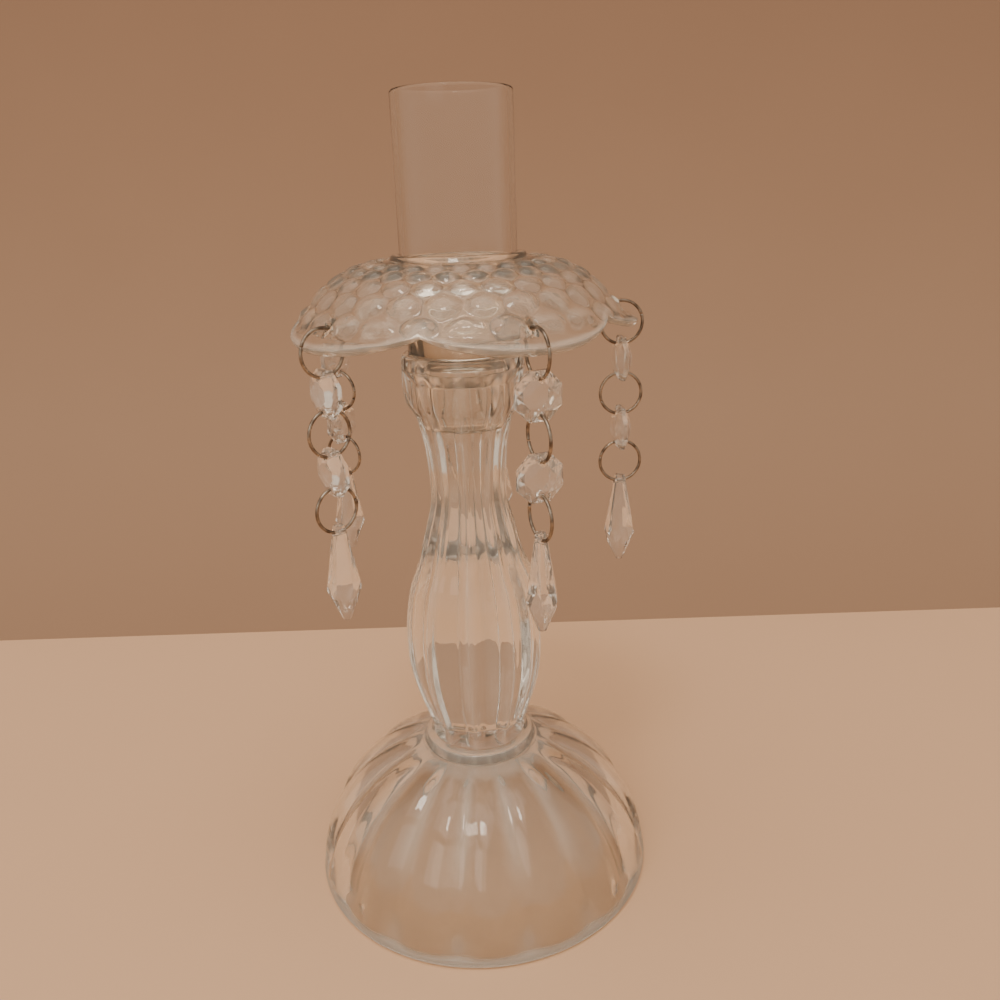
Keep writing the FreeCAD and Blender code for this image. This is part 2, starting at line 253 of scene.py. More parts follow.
PRESSED = GlassFinish("pressed_glass", (0.97, 0.945, 0.90), 1.48, (0.0, 0.06), 90.0, 0.12,
                      0.035, 0.42)
RELIEF = GlassFinish("relief_glass", (0.99, 0.94, 0.86), 1.46, (0.0, 0.08), 120.0, 0.15,
                     0.04, 0.42)
TUBE = GlassFinish("tube_glass", (0.99, 0.98, 0.965), 1.24, (0.0, 0.03), 40.0, 0.03, 0.008, 0.3)
CUT = GlassFinish("cut_crystal", (0.985, 0.955, 0.92), 1.54, (0.0, 0.04), 300.0, 0.03, 0.08, 0.0)
WIRE = WireFinish("darkened_wire", (0.42, 0.36, 0.30), (0.12, 0.09, 0.07), (0.18, 0.42))
# The wall's darker colour higher up is painted shade.
WALL = MattFinish("painted_wall", (0.41, 0.255, 0.167), (0.285, 0.168, 0.106), 6.0)
TABLE = MattFinish("pale_table", (0.75, 0.49, 0.31), (0.62, 0.40, 0.245), 9.0)


# ---------------------------------------------------------------- mesh helpers


def new_piece(name: str, verts: Sequence[Point], faces: Sequence[Sequence[int]],
              material: bpy.types.Material, smooth: bool = True,
              glow: Sequence[float] = ()) -> bpy.types.Object:
    """Makes a mesh object in millimetres turned to metres.

    Args:
        name: Object's name.
        verts: Points in millimetres.
        faces: Vertex numbers of each face.
        material: Its finish.
        smooth: Whether faces are shaded smooth.
        glow: Extra haze of each point, from 0 to 1, where the glass has any; it paints highlights
            and lightens shade.

    Returns:
        The linked object.
    """
    mesh = bpy.data.meshes.new(name)
    mesh.from_pydata([(x * MM, y * MM, z * MM) for x, y, z in verts], [], faces)
    shaper = bmesh.new()
    shaper.from_mesh(mesh)
    bmesh.ops.recalc_face_normals(shaper, faces=shaper.faces)
    shaper.to_mesh(mesh)
    shaper.free()
    mesh.polygons.foreach_set("use_smooth", [smooth] * len(mesh.polygons))
    if glow:
        mesh.attributes.new(GLOW, "FLOAT", "POINT").data.foreach_set("value", list(glow))
    mesh.materials.append(material)
    piece = bpy.data.objects.new(name, mesh)
    bpy.context.collection.objects.link(piece)
    return piece


def lathe(outline: Sequence[Station], columns: int,
          radius: Callable[[int, float], float] = lambda row, turn: 1.0
          ) -> Tuple[List[Point], List[List[int]]]:
    """Turns an outline about Z, closing it at the axis where it touches it.

    Args:
        outline: (radius, height) points in millimetres.
        columns: Steps round the axis.
        radius: Factor on the radius for a row number and a turn.

    Returns:
        Points and faces.
    """
    verts: List[Point] = []
    rows: List[List[int]] = []
    for number, (r, z) in enumerate(outline):
        if r < 1e-6:
            verts.append((0.0, 0.0, z))
            rows.append([len(verts) - 1] * columns)
            continue
        row = []
        for column in range(columns):
            turn = TAU * column / columns
            wide = r * radius(number, turn)
            verts.append((wide * math.cos(turn), wide * math.sin(turn), z))
            row.append(len(verts) - 1)
        rows.append(row)
    return verts, joined(rows, closed=min(outline[0][0], outline[-1][0]) > 1e-6)


def joined(rows: Sequence[Sequence[int]], closed: bool) -> List[List[int]]:
    """Faces between neighbouring rows of points.

    Args:
        rows: Rows of vertex numbers, all as long.
        closed: Whether the last row joins the first.

    Returns:
        Faces of three or four corners.
    """
    faces = []
    pairs = list(zip(rows, rows[1:]))
    if closed:
        pairs.append((rows[-1], rows[0]))
    for low, high in pairs:
        count = len(low)
        for i in range(count):
            after = (i + 1) % count
            corners = [low[i], low[after], high[after], high[i]]
            face = [c for k, c in enumerate(corners) if c not in corners[:k]]
            if len(face) > 2:
                faces.append(face)
    return faces


def smoothed(points: Sequence[Station], steps: int) -> List[Station]:
    """Catmull-Rom curve through points.

    Args:
        points: (radius, height) points.
        steps: Steps between each two.

    Returns:
        The denser points.
    """
    dense: List[Station] = []
    for i in range(len(points) - 1):
        a = points[max(i - 1, 0)]
        b, c = points[i], points[i + 1]
        d = points[min(i + 2, len(points) - 1)]
        for step in range(steps):
            t = step / steps
            dense.append(tuple(
                0.5 * (2 * q + (r - p) * t + (2 * p - 5 * q + 4 * r - s) * t ** 2
                       + (3 * q - p - 3 * r + s) * t ** 3)
                for p, q, r, s in zip(a, b, c, d)))
    dense.append(tuple(points[-1]))
    return dense


def arc(centre: Station, radius: float, start: float, stop: float, steps: int) -> List[Station]:
    """Points on an arc, angles in degrees from the +R direction.

    Args:
        centre: Arc's centre.
        radius: Its radius.
        start: First angle.
        stop: Last angle.
        steps: Steps along it.

    Returns:
        Both ends and the points between.
    """
    turns = [math.radians(start + (stop - start) * i / steps) for i in range(steps + 1)]
    return [(centre[0] + radius * math.cos(t), centre[1] + radius * math.sin(t)) for t in turns]


def crest(turn: float, count: int, first: float, sharpness: float) -> float:
    """1 on each of several crests round the axis, falling to 0 half way between.

    Args:
        turn: Direction, radians.
        count: Number of crests.
        first: Direction of one crest, degrees.
        sharpness: Power that narrows the crests.

    Returns:
        A share from 0 to 1.
    """
    return abs(math.cos(count * (turn - math.radians(first)) / 2)) ** sharpness


def blend(low: float, high: float, value: float) -> float:
    """Smooth step from 0 at low to 1 at high."""
    t = min(1.0, max(0.0, (value - low) / (high - low)))
    return t * t * (3 - 2 * t)


def cut_away(piece: bpy.types.Object, cutters: Sequence[bpy.types.Object]) -> None:
    """Subtracts cutters from a piece, and removes them.

    Args:
        piece: Object whose mesh is replaced by the result.
        cutters: Closed meshes to take away.
    """
    for cutter in cutters:
        hollow = piece.modifiers.new("cut", "BOOLEAN")
        hollow.operation = "DIFFERENCE"
        hollow.solver = "EXACT"
        hollow.object = cutter
    bpy.context.view_layer.update()
    shown = piece.evaluated_get(bpy.context.evaluated_depsgraph_get())
    mesh = bpy.data.meshes.new_from_object(shown)
    piece.modifiers.clear()
    piece.data = mesh
    for cutter in cutters:
        bpy.data.objects.remove(cutter)


def fasten(piece: bpy.types.Object, body: str, slot: Slot, *nodes: str) -> bpy.types.Object:
    """Makes a piece ride on a body in place of CAD nodes.

    Args:
        piece: Finished piece.
        body: CAD body it moves with.
        slot: Record's material slot; not used.
        nodes: CAD nodes it stands for.

    Returns:
        The piece.
    """
    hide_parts(*nodes)
    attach(piece, body)
    return piece


# ---------------------------------------------------------------- base and stem


@dataclass
class Base:
    """Hollow lobed dome with the ring that carries the stem.

    Attributes:
        radius: Outer radius at the table.
        rise: Height of the dome's arc.
        offset: That arc's centre, out from the axis.
        wall: Thickness of the glass.
        lobes: Number of rounded lobes.
        crease: Depth of the creases between them.
        flute: Depth of the softer flutes inside.
        first_crease: Direction of one crease, degrees.
        dome_end: Angle on the dome's arc where the collar begins, degrees.
        collar: (radius, height) of the collar, from the dome up.
        rows: Mesh steps along the dome's arc.
        columns: Mesh steps round the axis.
    """

    radius: float = 59.6
    rise: float = 49.5
    offset: float = 7.5
    wall: float = 4.0
    lobes: int = 16
    crease: float = 2.6
    flute: float = 1.1
    first_crease: float = 14.6
    dome_end: float = 77.0
    collar: List[Station] = field(default_factory=lambda: [
        (18.9, 45.9), (19.35, 46.9), (19.5, 48.2), (19.2, 49.8), (18.6, 50.9), (17.4, 51.35),
        (15.5, 51.45)])
    rows: int = 46
    columns: int = 384

    def build(self, glass: bpy.types.Material) -> List[bpy.types.Object]:
        """Makes the dome.

        Args:
            glass: Its finish.

        Returns:
            The one piece.
        """
        span = self.radius - self.offset
        low = (self.rise ** 2 - span ** 2) / (2 * self.rise)
        sweep = self.rise - low
        foot = math.degrees(math.asin(-low / sweep))
        outside = arc((self.offset, low), sweep, foot + 2.2, self.dome_end, self.rows)
        rim = [(self.radius - self.wall, 0.0), (self.radius - 1.6, 0.0),
               (self.radius - 0.8, 0.2), (self.radius - 0.25, 0.75), (self.radius - 0.03, 1.5)]
        inner = arc((self.offset, low), sweep - self.wall, 90.0, foot + 1.5, self.rows)
        outline = rim + outside + smoothed(self.collar, 4) + [(0.0, self.collar[-1][1])]
        under = [(0.0, self.rise - self.wall)] + inner
        creased = range(len(rim) + 1, len(rim) + len(outside))

        def shape(row: int, turn: float) -> float:
            """Draws the outside in along the creases.

            Args:
                row: Number of the outline's point.
                turn: Direction, radians.

            Returns:
                Factor on the radius.
            """
            if row not in creased:
                return 1.0
            r, z = outline[row]
            depth = self.crease * (0.15 + 0.85 * blend(1.0, 12.0, z)) * (1 - blend(43.5, 48.0, z))
            return 1 - depth * crest(turn, self.lobes, self.first_crease, 4) / r

        def fluted(row: int, turn: float) -> float:
            """Draws the inside in along the same creases.

            Args:
                row: Number of the outline's point.
                turn: Direction, radians.

            Returns:
                Factor on the radius.
            """
            r, z = under[row]
            depth = self.flute * blend(0.2, 6.0, z) * (1 - blend(38.0, 44.0, z))
            return 1 - depth * crest(turn, self.lobes, self.first_crease, 1.5) / max(r, 1.0)

        verts, faces = lathe(outline, self.columns, shape)
        more, more_faces = lathe(under, self.columns, fluted)
        base = len(verts)
        faces += [[i + base for i in face] for face in more_faces]
        verts += more
        outer_foot = list(range(self.columns))
        inner_foot = list(range(len(verts) - self.columns, len(verts)))
        faces += joined([inner_foot, outer_foot], closed=False)
        piece = new_piece("base_dome_glass", verts, faces, glass,
                          glow=[self.glow(point) for point in verts])
        return [fasten(piece, Body.STICK.value, Slot.CLEAR, "base_dome")]

    def glow(self, point: Point) -> float:
        """Haze of a point: a ground foot ring widened into a painted highlight line, painted
        lightening of the collar's dark ring and painted light streaks along the creases.

        Args:
            point: The point, in millimetres.

        Returns:
            Its share of extra haze, from 0 to 1.
        """
        x, y, z = point
        # Foot: a ground foot ring, full on the flat foot and fading by 2.4 mm up the side as a
        # painted highlight of the bright foot line.
        foot = 1 - blend(0.9, 2.4, z)
        # Collar: painted lightening of the dark ring that refraction leaves at the collar.
        collar = 0.35 * blend(45.5, 47.0, z)
        # Creases: painted light streaks along the creases, standing in for light and shade bands in
        # the glass.
        line = crest(math.atan2(y, x), self.lobes, self.first_crease, 6)
        creases = 0.30 * line * blend(18.0, 34.0, z) + 0.15 * line * (1 - blend(3.0, 14.0, z))
        return max(foot, collar, creases)


@dataclass
class Stem:
    """Solid ribbed baluster with the candle socket in its cup.

    Attributes:
        ribs: Number of ribs.
        rib: Height of the ribs.
        first_rib: Direction of one rib, degrees.
        columns: Mesh steps round the axis.
        floor: Height of the socket's floor.
        outside: (radius, height) of the outside, from the foot up.
        socket: (radius, height) of the candle socket, from the rim down.
    """

    ribs: int = 10
    rib: float = 1.4
    first_rib: float = 15.0
    columns: int = 400
    floor: float = 163.0
    outside: List[Station] = field(default_factory=lambda: [
        (15.6, 51.62), (16.2, 52.2), (16.15, 55.0), (18.5, 62.0), (21.3, 71.0), (23.25, 80.6),
        (23.7, 90.0), (23.5, 96.8), (22.2, 106.0), (20.7, 111.3), (17.9, 118.0), (15.6, 127.4),
        (13.2, 136.3), (12.7, 142.0), (13.0, 150.0), (13.9, 158.0), (16.0, 166.8), (18.6, 171.2),
        (19.6, 176.0), (19.65, 182.0), (19.45, 185.8), (19.1, 186.45)])
    socket: List[Station] = field(default_factory=lambda: [
        (18.6, 186.55), (16.2, 186.55), (15.75, 186.1), (15.7, 182.2), (15.3, 181.4),
        (11.6, 177.8), (11.3, 177.2), (11.3, 165.0), (10.6, 163.4)])

    def build(self, glass: bpy.types.Material) -> List[bpy.types.Object]:
        """Makes the stem.

        Args:
            glass: Its finish.

        Returns:
            The one piece.
        """
        outside = smoothed(self.outside, 7)
        outline = [(0.0, self.outside[0][1])] + outside + self.socket
        outline += [(8.0, self.floor), (0.0, self.floor)]
        last = len(outside)

        def shape(row: int, turn: float) -> float:
            """Draws the outside in between the ribs.

            Args:
                row: Number of the outline's point.
                turn: Direction, radians.

            Returns:
                Factor on the radius.
            """
            if row == 0 or row > last:
                return 1.0
            r, z = outline[row]
            depth = self.rib * blend(51.6, 56.0, z) * (1 - 0.75 * blend(160.0, 184.0, z))
            return 1 - depth * (1 - crest(turn, self.ribs, self.first_rib, 7)) / r

        verts, faces = lathe(outline, self.columns, shape)
        piece = new_piece("stem_glass", verts, faces, glass,
                          glow=[self.glow(point) for point in verts])
        return [fasten(piece, Body.STICK.value, Slot.CLEAR, "stem")]

    def glow(self, point: Point) -> float:
        """Haze of a point: painted highlight lines on the rib crests, painted lightening of a dark
        band round the waist and painted reflections of the lamps on the socket's floor.

        Args:
            point: The point, in millimetres.

        Returns:
            Its share of extra haze, from 0 to 1.
        """
        x, y, z = point
        # Painted highlight line along each rib crest.
        line = crest(math.atan2(y, x), self.ribs, self.first_rib, 14)
        # Painted lightening of the dark band that refraction leaves round the waist.
        waist = blend(118.0, 130.0, z) * (1 - blend(140.0, 150.0, z))
        # Painted lamp reflections on the socket's floor.
        floor = 0.5 if abs(z - self.floor) < 0.1 and math.hypot(x, y) > 5 else 0.0
        return max(0.25 * line, 0.22 * waist, floor)


# ---------------------------------------------------------------- bobeche and chimney


@dataclass
class Bobeche:
    """Scalloped skirt with pressed relief, central tube, spigot and chimney seat.

    Attributes:
        crown: Radius and height of the skirt's highest circle.
        fall: Radius of the arc that falls from the crown.
        flare: Radius of the arc that turns out to the rim.
        steepest: Slope where the arcs meet, degrees.
        wall: Thickness of the glass.
        lobe: Offset and radius of each scallop.
        strands: Number of scallops.
        first: Direction of the first scallop's middle, degrees.
        hole: Distance from the axis and radius of the strands' holes.
        relief: Height of the pressed relief.
        leaves: Leaves in one ring of the relief.
        leaf_rows: Rings of leaves.
        leaf_start: Radius of the innermost ring.
        leaf_pitch: Step from one ring to the next.
        leaf: Half width and half length of a leaf, in steps round and out.
        inset: Room between the mesh and the scallops' true edge.
        core: (radius, height) of the tube, spigot, candle's way and chimney seat.
        columns: Mesh steps round the axis.
        rows: Mesh steps from the crown to the edge.
    """

    crown: Station = (22.0, 214.5)
    fall: float = 29.5
    flare: float = 33.0
    steepest: float = 52.0
    wall: float = 2.6
    lobe: Station = (20.0, 34.6)
    strands: int = 5
    first: float = 6.7
    hole: Station = (47.2, 1.8)
    relief: float = 1.25
    leaves: int = 25
    leaf_rows: int = 5
    leaf_start: float = 27.2
    leaf_pitch: float = 5.2
    leaf: Station = (0.5, 0.64)
    inset: float = 0.15
    core: List[Station] = field(default_factory=lambda: [
        (17.0, 210.0), (17.0, 187.3), (16.7, 186.65), (15.6, 186.6), (15.55, 183.0),
        (15.2, 182.65), (12.6, 182.65), (12.2, 183.1), (12.2, 212.0), (12.7, 212.48),
        (18.0, 212.48), (18.0, 215.8), (18.4, 216.35), (20.0, 216.35), (20.55, 215.9),
        (20.75, 215.0), (21.3, 214.6)])
    columns: int = 700
    rows: int = 84

    def edge(self, turn: float) -> float:
        """Radius of the scalloped edge in one direction.

        Args:
            turn: Direction, radians.

        Returns:
            Distance from the axis.
        """
        pitch = TAU / self.strands
        away = (turn - math.radians(self.first) + pitch / 2) % pitch - pitch / 2
        offset, radius = self.lobe
        return offset * math.cos(away) + math.sqrt(radius ** 2 - (offset * math.sin(away)) ** 2)

    def surface(self, r: float) -> Tuple[float, float]:
        """Height and slope of the skirt's outside at a radius.

        Args:
            r: Distance from the axis.

        Returns:
            Height in millimetres and slope in radians.
        """
        steep = math.radians(self.steepest)
        meet = self.crown[0] + self.fall * math.sin(steep)
        if r <= meet:
            sine = (r - self.crown[0]) / self.fall
            slope = math.asin(max(0.0, sine))
            return self.crown[1] - self.fall * (1 - math.cos(slope)), slope
        sine = math.sin(steep) - (r - meet) / self.flare
        slope = math.asin(sine)
        height = self.crown[1] - self.fall * (1 - math.cos(steep))
        return height - self.flare * (math.cos(slope) - math.cos(steep)), slope

    def pattern(self, r: float, turn: float) -> float:
        """Height of the pressed relief: staggered leaves over a plain rim.

        Args:
            r: Distance from the axis.
            turn: Direction, radians.

        Returns:
            A share from 0 to about 1.
        """
        u = (turn - math.radians(self.first)) * self.leaves / TAU
        v = (r - self.leaf_start) / self.leaf_pitch
        height = 0.0
        for row in range(self.leaf_rows):
            centre = math.floor(u + 0.5 * (row % 2)) + 0.5 - 0.5 * (row % 2)
            for shift in (-1.0, 0.0, 1.0):
                away = math.hypot((u - centre - shift) / self.leaf[0], (v - row) / self.leaf[1])
                height = max(height, math.exp(-(away / 0.78) ** 4))
        petals = crest(turn, self.strands * 8, self.first, 1.5) * blend(45.5, 48.0, r)
        band = blend(23.0, 25.0, r) * (1 - blend(47.5, 50.0, r))
        return height * band + 0.22 * petals * (1 - blend(49.5, 51.5, r))

    def glow(self, point: Point) -> float:
        """Haze of a point: painted highlights on the relief's crests, stronger on the upper side
        than beneath, and a painted bright line along the rounded edge.

        Args:
            point: The point, in millimetres.

        Returns:
            Its share of extra haze, from 0 to 1.
        """
        x, y, z = point
        r, turn = math.hypot(x, y), math.atan2(y, x)
        if r < self.crown[0]:
            return 0.0
        # Painted bright line along the rounded edge.
        edge = 0.45 * blend(1.9, 0.8, self.edge(turn) - r)
        level, _ = self.surface(min(r, self.edge(turn) - self.inset))
        # The upper side takes the full painted highlight, the underside about a third.
        outside = 1.0 if z > level - self.wall / 2 else 0.35
        return max(edge, 0.16 * outside * self.pattern(r, turn))

    def section(self, turn: float) -> List[Station]:
        """Outline of a cut through the glass in one direction.

        Args:
            turn: Direction, radians.

        Returns:
            (radius, height) points: the core, the outside, the rounded edge and the underside.
        """
        edge = self.edge(turn) - self.inset
        outline: List[Station] = list(self.core)
        inside: List[Station] = []
        for row in range(self.rows + 1):
            share = row / self.rows
            r = self.crown[0] + (edge - self.crown[0]) * share
            z, slope = self.surface(r)
            lift = self.relief * (self.pattern(r, turn) - 0.5) * (1 - blend(50.5, 52.5, r))
            lift *= blend(22.5, 24.0, r)
            outline.append((r + lift * math.sin(slope), z + lift * math.cos(slope)))
            if row % 3 == 0:
                inside.append((r - self.wall * math.sin(slope), z - self.wall * math.cos(slope)))
        z, slope = self.surface(edge)
        half = self.wall / 2
        for turn_down in (30, 60, 90, 120, 150):
            swing = math.radians(turn_down)
            along = 0.45 * half * math.sin(swing)
            deep = half * (1 - math.cos(swing))
            outline.append((edge + along * math.cos(slope) - deep * math.sin(slope),
                            z - along * math.sin(slope) - deep * math.cos(slope)))
        return outline + inside[::-1]

    def build(self, glass: bpy.types.Material) -> List[bpy.types.Object]:
        """Makes the bobeche.

        Args:
            glass: Its finish.

        Returns:
            The one piece.
        """
        verts: List[Point] = []
        columns = [self.section(TAU * number / self.columns) for number in range(self.columns)]
        rows = [[] for _ in columns[0]]
        for number, section in enumerate(columns):
            turn = TAU * number / self.columns
            for row, (r, z) in enumerate(section):
                rows[row].append(len(verts))
                verts.append((r * math.cos(turn), r * math.sin(turn), z))
        piece = new_piece("bobeche_glass", verts, joined(rows, closed=True), glass,
                          glow=[self.glow(point) for point in verts])
        cut_away(piece, [self.hole_cutter(i) for i in range(self.strands)])
        return [fasten(piece, Body.BOBECHE.value, Slot.CLEAR, "bobeche")]

    def hole_cutter(self, index: int) -> bpy.types.Object:
        """Upright rod where one strand passes through.

        Args:
            index: Number of the strand.

        Returns:
            The rod, to be cut away.
        """
        way = math.radians(self.first) + index * TAU / self.strands
        verts, faces = lathe([(0.0, 190.0), (self.hole[1], 190.0), (self.hole[1], 210.0),
                              (0.0, 210.0)], 28)
        away = (self.hole[0] * math.cos(way), self.hole[0] * math.sin(way))
        moved = [(x + away[0], y + away[1], z) for x, y, z in verts]
        return new_piece(f"hole_{index}", moved, faces, bpy.data.materials[PRESSED.name])


@dataclass
class Chimney:
    """Plain open glass tube with fire-polished rims.

    Attributes:
        radius: Outside radius.
        wall: Thickness of the glass.
        bottom: Height of its foot.
        top: Height of its rim.
    """

    radius: float = 17.8
    wall: float = 1.8
    bottom: float = 212.52
    top: float = 261.5

    def build(self, glass: bpy.types.Material) -> List[bpy.types.Object]:
        """Makes the chimney.

        Args:
            glass: Its finish.

        Returns:
            The one piece.
        """
        middle = self.radius - self.wall / 2
        half = self.wall / 2
        rim = arc((middle, self.top - half), half, 0, 180, 12)
        foot = arc((middle, self.bottom + half), half, 180, 360, 12)
        outline = rim + foot
        verts, faces = lathe(outline, 192)
        piece = new_piece("chimney_glass", verts, faces, glass)
        return [fasten(piece, Body.CHIMNEY.value, Slot.THIN, "chimney")]


# ---------------------------------------------------------------- strands


# corners of a bead's half, eight of each: distance out, radius, first direction in degrees
BEAD_CORNERS = ((0.7, 7.5, 22.5), (2.62, 3.5, 22.5), (1.75, 5.55, 0.0))

# corners of the drop, six of each: height over the hole, radius, twist in degrees
DROP_CORNERS = ((2.1, 1.75, 0), (0.0, 2.1, 0), (-4.4, 2.2, 0), (-13.2, 4.0, 30),
                (-17.9, 5.15, 0), (-21.4, 4.05, 30), (-28.0, 1.3, 0))


@dataclass
class Strand:
    """Three wire rings, two cut octagons and a spear drop under one scallop.

    Attributes:
        letter: Which strand.
        way: Its direction, radians.
        ring_radius: Radius of each ring's centre line.
        wire_radius: Radius of its wire.
        hole_radius: Radius of the crystals' holes.
        hole_offset: Distance of a bead's holes from its middle.
        drop_hole: Distance of the drop's hole below its top.
    """

    letter: str
    way: float
    ring_radius: float = 6.75
    wire_radius: float = 0.5
    hole_radius: float = 0.9
    hole_offset: float = 4.55
    drop_hole: float = 2.2

    def node(self, name: str) -> str:
        """Name of one of this strand's CAD nodes."""
        return f"strand_{self.letter}_{name}"

    def middle(self, name: str) -> Vector:
        """Middle of one CAD node's box, in millimetres."""
        low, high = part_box(self.node(name))
        return (low + high) / 2 / MM

    def placed(self, points: Sequence[Point], centre: Vector) -> List[Point]:
        """Turns points from (out, along, up) to the row frame about a centre."""
        turn = Matrix.Rotation(self.way, 3, "Z")
        return [tuple(turn @ Vector(p) + centre) for p in points]

    def ring(self, name: str, slit: float, metal: bpy.types.Material) -> bpy.types.Object:
        """Wire ring with a fine slit where its ends meet.

        Args:
            name: Its name within the strand.
            slit: Direction of the slit, radians.
            metal: Its finish.

        Returns:
            The ring.
        """
        verts: List[Point] = []
        rows: List[List[int]] = []
        steps, round_steps = 96, 14
        gap = math.radians(2.2)
        for step in range(steps + 1):
            turn = slit + gap / 2 + (TAU - gap) * step / steps
            row = []
            for i in range(round_steps):
                spin = TAU * i / round_steps
                wide = self.ring_radius + self.wire_radius * math.cos(spin)
                row.append(len(verts))
                verts.append((wide * math.cos(turn), self.wire_radius * math.sin(spin),
                              wide * math.sin(turn)))
            rows.append(row)
        faces = joined(rows, closed=False) + [rows[0], rows[-1][::-1]]
        centre = self.middle(name)
        piece = new_piece(self.node(name) + "_wire", self.placed(verts, centre), faces, metal)
        return fasten(piece, self.node(name), Slot.WIRE, self.node(name))

    def stone(self, name: str, hull: Sequence[Point], holes: Sequence[float], centre: Vector,
              glass: bpy.types.Material) -> bpy.types.Object:
        """Cut crystal: a convex body of flat facets with drilled holes.

        Args:
            name: Its name within the strand.
            hull: Corners as (out, along, up) from the centre.
            holes: Heights of its holes above the centre.
            centre: Where the centre is, in millimetres.
            glass: Its finish.

        Returns:
            The crystal.
        """
        mesh = bpy.data.meshes.new(name)
        shaper = bmesh.new()
        for p in hull:
            shaper.verts.new(Vector(p) * MM)
        found = bmesh.ops.convex_hull(shaper, input=shaper.verts)
        bmesh.ops.delete(shaper, geom=[g for g in found["geom_interior"]
                                       if isinstance(g, bmesh.types.BMVert)], context="VERTS")
        bmesh.ops.dissolve_limit(shaper, angle_limit=math.radians(0.5), verts=shaper.verts,
                                 edges=shaper.edges)
        shaper.to_mesh(mesh)
        shaper.free()
        mesh.materials.append(glass)
        piece = bpy.data.objects.new(self.node(name) + "_cut", mesh)
        bpy.context.collection.objects.link(piece)
        drills = []
        for height in holes:
            drill, faces = lathe([(0.0, -5.0), (self.hole_radius, -5.0),
                                  (self.hole_radius, 5.0), (0.0, 5.0)], 20)
            turned = [(z, y, -x + height) for x, y, z in drill]
            drills.append(new_piece("drill", turned, faces, glass))
        cut_away(piece, drills)
        piece.data.transform(Matrix.Translation(centre * MM)
                             @ Matrix.Rotation(self.way, 4, "Z"))
        return fasten(piece, self.node(name), Slot.CRYSTAL, self.node(name))

    def octagon(self, name: str, glass: bpy.types.Material) -> bpy.types.Object:
        """Octagonal bead: table, star facets and girdle, the same on both faces.

        Args:
            name: Its name within the strand.
            glass: Its finish.

        Returns:
            The bead.
        """
        hull: List[Point] = []
        for side in (-1, 1):
            for i in range(8):
                for out, radius, twist in BEAD_CORNERS:
                    turn = math.radians(twist + 45 * i)
                    hull.append((side * out, radius * math.cos(turn), radius * math.sin(turn)))
        return self.stone(name, hull, (self.hole_offset, -self.hole_offset),
                          self.middle(name), glass)

    def drop(self, glass: bpy.types.Material) -> bpy.types.Object:
        """Spear drop: a slim neck that widens to six-sided shoulders over a blunt point.

        Args:
            glass: Its finish.

        Returns:
            The drop.
        """
        hull: List[Point] = []
        for height, radius, twist in DROP_CORNERS:
            for i in range(6):
                turn = math.radians(90 + twist + 60 * i)
                hull.append((radius * math.cos(turn), radius * math.sin(turn), height))
        low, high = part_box(self.node("drop"))
        hole = (low + high) / 2 / MM
        hole.z = high.z / MM - self.drop_hole
        return self.stone("drop", hull, (0.0,), hole, glass)

    def build(self, glass: bpy.types.Material,
              metal: bpy.types.Material) -> List[bpy.types.Object]:
        """Makes the strand.

        Args:
            glass: Finish of the crystals.
            metal: Finish of the rings.

        Returns:
            Its six pieces.
        """
        return [
            self.ring("hook_ring", math.radians(20), metal),
            self.octagon("upper_octagon", glass),
            self.ring("middle_ring", math.radians(200), metal),
            self.octagon("lower_octagon", glass),
            self.ring("lower_ring", math.radians(165), metal),
            self.drop(glass),
        ]


# ---------------------------------------------------------------- surroundings


@dataclass(frozen=True)
class Lamp:
    """Soft square lamp.

    Attributes:
        name: Its name.
        place: Where it stands, in metres.
        aim: Point that it faces.
        size: Length of its side.
        power: Watts.
        colour: Its colour.
    """

    name: str
    place: Point
    aim: Point
    size: float
    power: float
    colour: Point

    def build(self) -> None:
        """Makes the lamp."""
        data = bpy.data.lights.new(self.name, "AREA")
        data.size = self.size
        data.energy = self.power
        data.color = self.colour
        lamp = bpy.data.objects.new(self.name, data)
        lamp.location = self.place
        facing = Vector(self.aim) - Vector(self.place)
        lamp.rotation_euler = facing.to_track_quat("-Z", "Y").to_euler()
        bpy.context.collection.objects.link(lamp)


LAMPS = (
    Lamp("ceiling", (-0.2, -0.3, 1.9), (0, 0, 0.1), 1.8, 13.0, (1.0, 0.88, 0.75)),
    Lamp("sparkle", (-0.12, -0.55, 1.15), (0, 0, 0.2), 0.22, 2.6, (1.0, 0.92, 0.81)),
    Lamp("fill", (-0.9, -1.6, 1.2), (0, 0, 0.15), 1.2, 7.0, (1.0, 0.90, 0.78)),
)


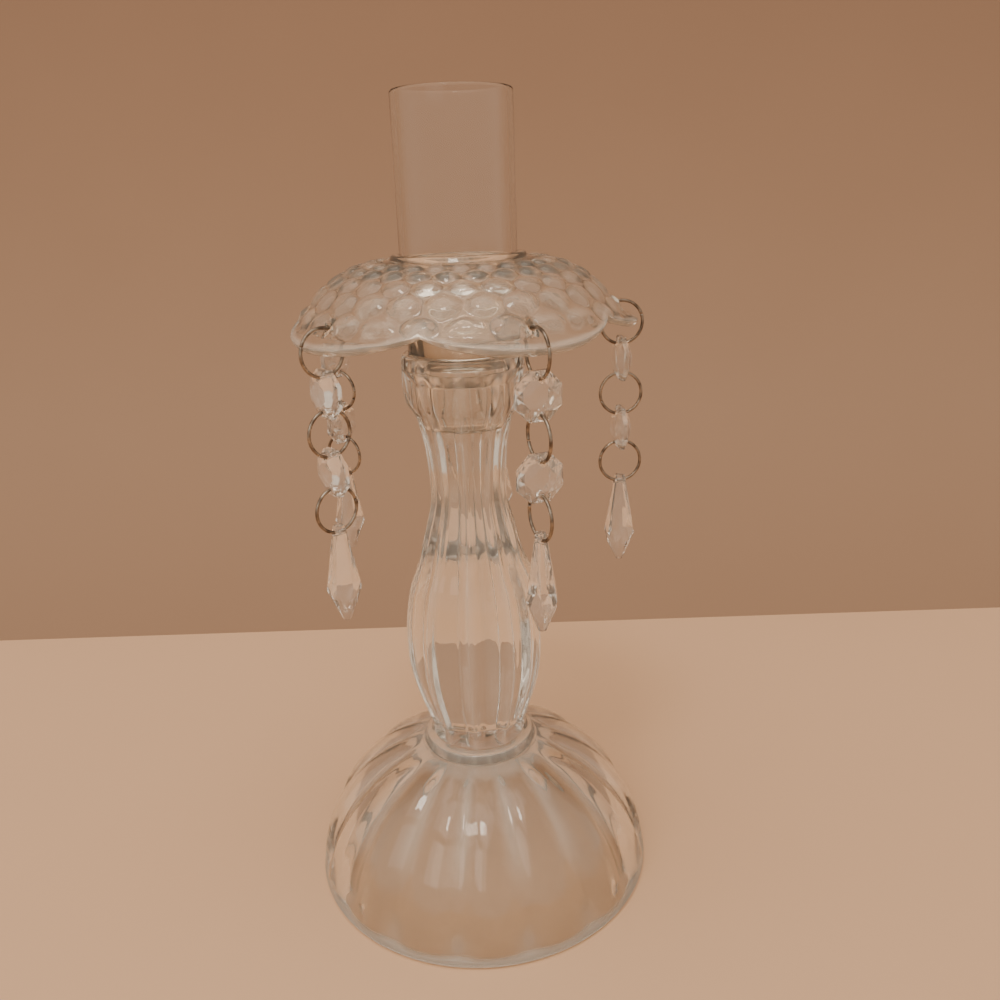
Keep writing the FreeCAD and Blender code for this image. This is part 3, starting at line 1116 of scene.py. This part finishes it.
@dataclass
class Studio:
    """Table, wall, light and camera.

    Attributes:
        table_edge: The table's far edge behind the axis, in metres.
        wall: Wall's distance behind the axis, in metres.
        room_colour: Colour of the light from all round.
        room_light: Strength of that light.
        eye: Where the camera stands.
        tilt: Its tilt up from straight down, degrees.
        roll: Its roll, degrees.
        lens: Focal length over a film 36 mm wide.
    """

    table_edge: float = 0.181
    wall: float = 0.80
    room_colour: Point = (1.0, 0.85, 0.69)
    room_light: float = 0.85
    eye: Point = (0.0101, -0.2809, 0.2337)
    tilt: float = 71.0
    roll: float = -1.9
    lens: float = 32.4

    def build(self) -> None:
        """Makes everything round the object."""
        table = TABLE.material()
        wall = WALL.material()
        self.slab("table", (-900, 900), (-1200, self.table_edge * 1000), (-30, -0.05), table)
        self.slab("wall", (-2500, 2500), (self.wall * 1000, self.wall * 1000 + 20),
                  (-1200, 2200), wall)
        self.light()
        self.camera()

    def slab(self, name: str, x: Station, y: Station, z: Station,
             material: bpy.types.Material) -> None:
        """One flat slab of the surroundings.

        Args:
            name: Its name.
            x: Its two sides, in millimetres.
            y: Its front and back.
            z: Its bottom and top.
            material: Its finish.
        """
        verts = [(a, b, c) for a in x for b in y for c in z]
        faces = [[0, 1, 3, 2], [4, 6, 7, 5], [0, 4, 5, 1], [2, 3, 7, 6], [0, 2, 6, 4], [1, 5, 7, 3]]
        new_piece(name, verts, faces, material, smooth=False)

    def light(self) -> None:
        """Lights the room from all round, above and in front."""
        world = bpy.data.worlds.new("room")
        world.use_nodes = True
        sky = world.node_tree.nodes["Background"]
        sky.inputs["Color"].default_value = (*self.room_colour, 1)
        sky.inputs["Strength"].default_value = self.room_light
        bpy.context.scene.world = world
        for lamp in LAMPS:
            lamp.build()

    def camera(self) -> None:
        """Camera close in front, looking down a little, and turned slightly."""
        data = bpy.data.cameras.new("camera")
        data.lens = self.lens
        data.sensor_width = 36
        camera = bpy.data.objects.new("camera", data)
        look = Matrix.Rotation(math.radians(self.tilt), 4, "X") @ Matrix.Rotation(
            math.radians(self.roll), 4, "Z")
        camera.matrix_world = Matrix.Translation(self.eye) @ look
        bpy.context.collection.objects.link(camera)
        bpy.context.scene.camera = camera


@dataclass
class Candlestick:
    """The whole object.

    Attributes:
        first_strand: Direction of the first strand, degrees.
        letters: One letter for each strand.
    """

    first_strand: float = 6.7
    letters: str = "abcde"

    def build(self) -> Dict[str, int]:
        """Makes every assembly.

        Returns:
            Number of pieces in each.
        """
        pressed, tube = PRESSED.material(), TUBE.material()
        relief, cut, wire = RELIEF.material(), CUT.material(), WIRE.material()
        made = {
            "base": Base().build(pressed),
            "stem": Stem().build(pressed),
            "bobeche": Bobeche(first=self.first_strand).build(relief),
            "chimney": Chimney().build(tube),
        }
        for index, letter in enumerate(self.letters):
            way = math.radians(self.first_strand) + index * TAU / len(self.letters)
            made[f"strand {letter}"] = Strand(letter, way).build(cut, wire)
        return {name: len(pieces) for name, pieces in made.items()}


def corners(box: Tuple[Vector, Vector]) -> List[List[float]]:
    """Two corners of a box as plain numbers."""
    return [[round(v, 6) for v in corner] for corner in box]


def main() -> None:
    """Builds the scene."""
    logging.basicConfig(level=logging.INFO)
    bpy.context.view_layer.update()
    for name, count in Candlestick().build().items():
        log.info("%s: %d piece(s)", name, count)
    Studio().build()


if __name__ == "__main__":
    main()
